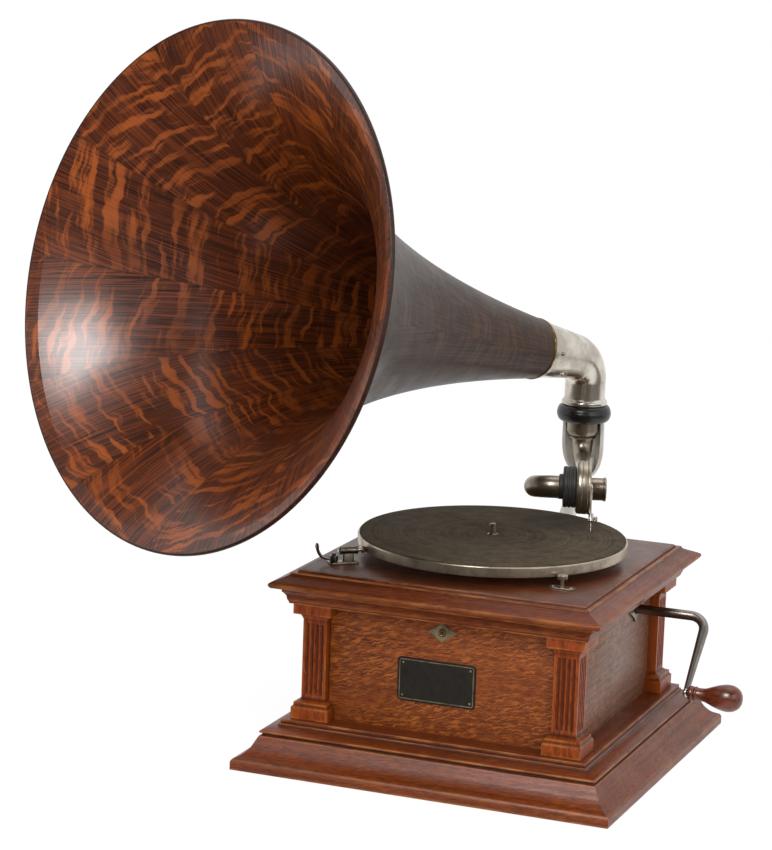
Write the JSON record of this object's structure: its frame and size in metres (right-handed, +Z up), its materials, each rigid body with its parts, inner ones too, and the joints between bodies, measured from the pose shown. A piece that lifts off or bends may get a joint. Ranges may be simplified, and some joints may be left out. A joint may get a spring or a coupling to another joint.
{
  "type": "disc phonograph with horn",
  "caption": "Spring-driven disc phonograph: square oak case with corner pilasters, swivelling wooden horn on a plated elbow, tone arm with flip-up sound box, and side crank.",
  "frame": {"origin": "centre of the underside of the square bottom board", "axes": "+X to the crank side, +Y to the back where the horn bracket is, +Z up"},
  "size_m": [0.6819, 0.6114, 0.6857],
  "materials": {
    "case_oak": "waxed quarter-sawn oak, orange-brown",
    "moulding_oak": "waxed oak mouldings, reddish brown",
    "horn_oak": "dark satin quarter-sawn oak veneer",
    "rim_oak": "dark turned oak rim",
    "nickel": "aged nickel plate",
    "dark_steel": "dark polished steel",
    "brass": "aged brass",
    "cast_iron": "cast iron",
    "black_enamel": "glossy black enamel",
    "rubber": "black rubber",
    "felt": "worn dark grey-brown felt",
    "mica": "mica sheet",
    "leather": "brown leather",
    "knob_wood": "glossy red-brown turned wood",
    "plate_black": "black lacquer with a bronze border, no lettering"
  },
  "bodies": {
    "case": {"bottom_board": "case_oak", "plinth_moulding": "moulding_oak", "case_front": "case_oak", "case_back": "case_oak", "case_left": "case_oak", "case_right": "case_oak", "post_back_right": "moulding_oak", "post_back_left": "moulding_oak", "post_front_left": "moulding_oak", "post_front_right": "moulding_oak", "frieze_moulding": "moulding_oak", "lid_frame": "moulding_oak", "motor_board": "case_oak", "lock_plate": "nickel", "name_plate": "plate_black", "crank_plate": "nickel", "speed_plate": "nickel", "brake_base": "nickel", "back_bracket": "nickel", "knuckle_ring": "black_enamel", "motor_frame": "cast_iron", "lever_bracket": "cast_iron"},
    "lock": {"lock_cylinder": "brass"},
    "turntable": {"turntable": "nickel", "turntable_felt": "felt", "spindle": "dark_steel", "spindle_worm_wheel": "brass"},
    "barrel": {"spring_barrel": "brass", "barrel_cover": "brass", "main_spring": "dark_steel"},
    "winding_arbor": {"winding_arbor": "dark_steel"},
    "layshaft": {"layshaft": "dark_steel", "crown_wheel": "brass"},
    "governor": {"governor_shaft": "dark_steel", "governor_disc": "brass", "governor_weight_1": "dark_steel", "governor_weight_2": "dark_steel", "governor_weight_3": "dark_steel"},
    "crank": {"crank": "dark_steel", "crank_pinion": "dark_steel"},
    "crank_knob": {"crank_knob": "knob_wood"},
    "speed_screw": {"speed_screw": "brass"},
    "speed_lever": {"speed_lever": "dark_steel"},
    "brake_lever": {"brake_lever": "dark_steel"},
    "brake_plunger": {"brake_plunger": "nickel", "brake_pad": "leather"},
    "tone_arm": {"tone_arm": "nickel"},
    "gooseneck": {"gooseneck": "nickel", "rubber_flange": "rubber", "soundbox_case": "nickel", "soundbox_ring": "nickel", "diaphragm": "mica"},
    "stylus": {"stylus_bar": "nickel", "needle": "dark_steel"},
    "needle_screw": {"needle_screw": "nickel"},
    "elbow": {"horn_elbow": "nickel"},
    "horn": {"horn_ferrule": "brass", "horn_bell": "horn_oak", "horn_rim": "rim_oak"}
  },
  "joints": [
    {"name": "turntable_spin", "type": "hinge", "parent": "case", "child": "turntable", "pos_m": [0, 0.0005, 0], "axis": [0, 0, 1], "continuous": true},
    {"name": "layshaft_spin", "type": "hinge", "parent": "case", "child": "layshaft", "pos_m": [0, 0.0005, 0.07776], "axis": [1, 0, 0], "continuous": true},
    {"name": "barrel_spin", "type": "hinge", "parent": "case", "child": "barrel", "pos_m": [0, 0.05702, 0.09076], "axis": [1, 0, 0], "continuous": true},
    {"name": "governor_spin", "type": "hinge", "parent": "case", "child": "governor", "pos_m": [0, -0.02643, 0.132], "axis": [1, 0, 0], "continuous": true},
    {"name": "crank_turn", "type": "hinge", "parent": "case", "child": "crank", "pos_m": [0, 0.0594, 0.1377], "axis": [1, 0, 0], "continuous": true},
    {"name": "winding_arbor_turn", "type": "hinge", "parent": "case", "child": "winding_arbor", "pos_m": [0, 0.05702, 0.09076], "axis": [1, 0, 0], "continuous": true},
    {"name": "crank_knob_spin", "type": "hinge", "parent": "crank", "child": "crank_knob", "pos_m": [0.196, -0.00134, 0.08026], "axis": [1, 0, 0], "continuous": true},
    {"name": "speed_turn", "type": "hinge", "parent": "case", "child": "speed_screw", "pos_m": [0.09938, -0.08774, 0], "axis": [0, 0, -1], "range_deg": [0, 270]},
    {"name": "speed_lever_tilt", "type": "hinge", "parent": "case", "child": "speed_lever", "pos_m": [0.0636, 0, 0.1529], "axis": [0, 1, 0], "range_deg": [0, 2.5]},
    {"name": "brake_turn", "type": "hinge", "parent": "case", "child": "brake_lever", "pos_m": [-0.11849, -0.1025, 0], "axis": [0, 0, 1], "range_deg": [0, 45]},
    {"name": "brake_plunger_slide", "type": "slide", "parent": "case", "child": "brake_plunger", "axis": [-0.7547, -0.6561, 0], "range_m": [0, 0.0025]},
    {"name": "tone_arm_swing", "type": "hinge", "parent": "case", "child": "tone_arm", "pos_m": [0, 0.263, 0], "axis": [0, 0, 1], "range_deg": [-14, 30]},
    {"name": "gooseneck_flip", "type": "hinge", "parent": "tone_arm", "child": "gooseneck", "pos_m": [0.05446, 0.11255, 0.2358], "axis": [-0.9403, -0.3404, 0], "range_deg": [0, 90]},
    {"name": "stylus_rock", "type": "hinge", "parent": "gooseneck", "child": "stylus", "pos_m": [0.07481, 0.06574, 0.22353], "axis": [0.2854, -0.7885, 0.5449], "range_deg": [-0.8, 0.8], "stiffness_Nm_per_rad": 0.1},
    {"name": "needle_screw_turn", "type": "hinge", "parent": "stylus", "child": "needle_screw", "pos_m": [0.07621, 0.06216, 0.21762], "axis": [0.9403, 0.3404, 0], "range_deg": [0, 360]},
    {"name": "elbow_turn", "type": "hinge", "parent": "case", "child": "elbow", "pos_m": [0, 0.263, 0], "axis": [0, 0, 1], "continuous": true},
    {"name": "horn_slide", "type": "slide", "parent": "elbow", "child": "horn", "axis": [-0.3973, -0.8924, 0.2141], "range_m": [0, 0.04]},
    {"name": "lock_turn", "type": "hinge", "parent": "case", "child": "lock", "pos_m": [0, -0.125, 0.1406], "axis": [0, 1, 0], "range_deg": [0, 90]}
  ],
  "couplings": [
    {"joint": "layshaft_spin", "follows": "turntable_spin", "ratio": 0.27778},
    {"joint": "barrel_spin", "follows": "turntable_spin", "ratio": -0.05787},
    {"joint": "governor_spin", "follows": "turntable_spin", "ratio": -10},
    {"joint": "winding_arbor_turn", "follows": "crank_turn", "ratio": -0.34286},
    {"joint": "speed_turn", "follows": "speed_lever_tilt", "ratio": 108},
    {"joint": "brake_plunger_slide", "follows": "brake_turn", "m_per_rad": 0.0031831}
  ]
}
